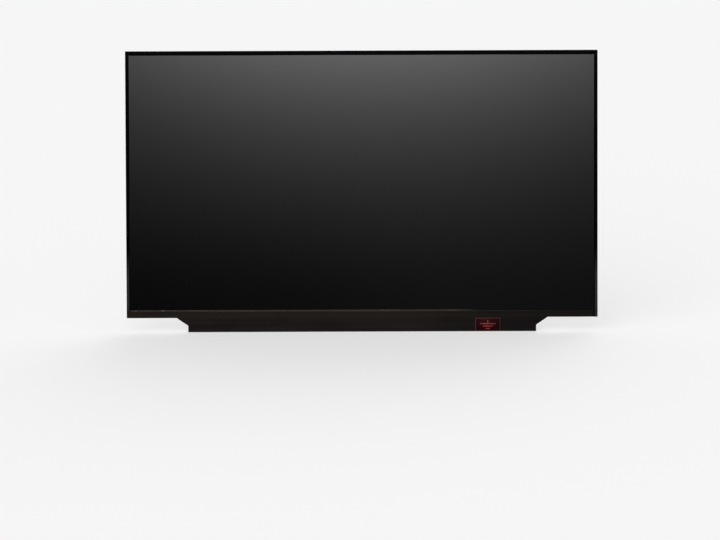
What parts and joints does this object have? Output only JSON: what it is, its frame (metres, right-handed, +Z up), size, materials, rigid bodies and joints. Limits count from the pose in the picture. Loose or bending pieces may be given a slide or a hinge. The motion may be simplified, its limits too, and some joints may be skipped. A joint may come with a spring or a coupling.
{
  "type": "laptop screen panel",
  "caption": "Slim wide-format liquid-crystal screen panel for a laptop lid: matte dark screen, folded steel back, taped edges and a film-covered driver board with a video receptacle below.",
  "frame": {"origin": "on the rear plate's flat outer face, at the centre of the panel's outline without the flap", "axes": "+X to the viewer's right along the long side, +Y out of the back, +Z up the picture; the screen faces -Y"},
  "size_m": [0.3506, 0.0025, 0.2162],
  "materials": {
    "plate_steel": "fine speckled zinc-coated sheet steel",
    "black_moulding": "satin black moulding",
    "white_reflector": "soft white film",
    "clear_acrylic": "polished clear acrylic",
    "optical_film": "hazy clear film",
    "white_flex": "white solder mask on flexible circuit",
    "lamp_resin": "yellow resin",
    "black_adhesive": "black double-sided tape",
    "polariser_film": "anti-glare dark film",
    "cell_glass": "thin dark glass",
    "amber_film": "amber flexible circuit",
    "chip_silicon": "bare polished silicon",
    "board_green": "green solder mask",
    "cream_plastic": "cream moulding",
    "contact_metal": "gold-flashed contacts",
    "clip_steel": "tin-plated sheet",
    "chip_black": "black moulded package",
    "ferrite": "dark grey ferrite",
    "capacitor_ceramic": "tan ceramic",
    "resistor_ceramic": "black glazed ceramic",
    "cover_film": "satin brown-black film",
    "board_film": "black insulating film",
    "edge_tape": "black edge tape",
    "label_paper": "coated white paper"
  },
  "bodies": {
    "root": {"rear_plate": "plate_steel", "mould_frame": "black_moulding", "reflector_sheet": "white_reflector", "light_guide_plate": "clear_acrylic", "diffuser_sheet": "optical_film", "lower_prism_sheet": "optical_film", "upper_prism_sheet": "optical_film", "upper_diffuser_sheet": "optical_film", "light_bar_flex": "white_flex", "light_bar_tail": "white_flex", "light_bar_lamps": "lamp_resin", "cell_tape": "black_adhesive", "rear_polariser": "polariser_film", "front_polariser": "polariser_film", "array_glass": "cell_glass", "filter_glass": "cell_glass", "source_film_1": "amber_film", "source_film_2": "amber_film", "source_film_3": "amber_film", "source_film_4": "amber_film", "driver_chip_1": "chip_silicon", "driver_chip_2": "chip_silicon", "driver_chip_3": "chip_silicon", "driver_chip_4": "chip_silicon", "source_board": "board_green", "receptacle_body": "cream_plastic", "receptacle_contacts": "contact_metal", "receptacle_clips": "clip_steel", "timing_chip": "chip_black", "memory_chip": "chip_black", "power_chip": "chip_black", "backlight_chip": "chip_black", "inductors": "ferrite", "capacitors": "capacitor_ceramic", "resistors": "resistor_ceramic", "front_cover_film": "cover_film", "rear_board_film": "board_film", "edge_tape_left": "edge_tape", "edge_tape_right": "edge_tape", "edge_tape_top": "edge_tape", "edge_tape_bottom_left": "edge_tape", "edge_tape_bottom_right": "edge_tape", "long_label": "label_paper", "short_label": "label_paper"}
  },
  "joints": []
}
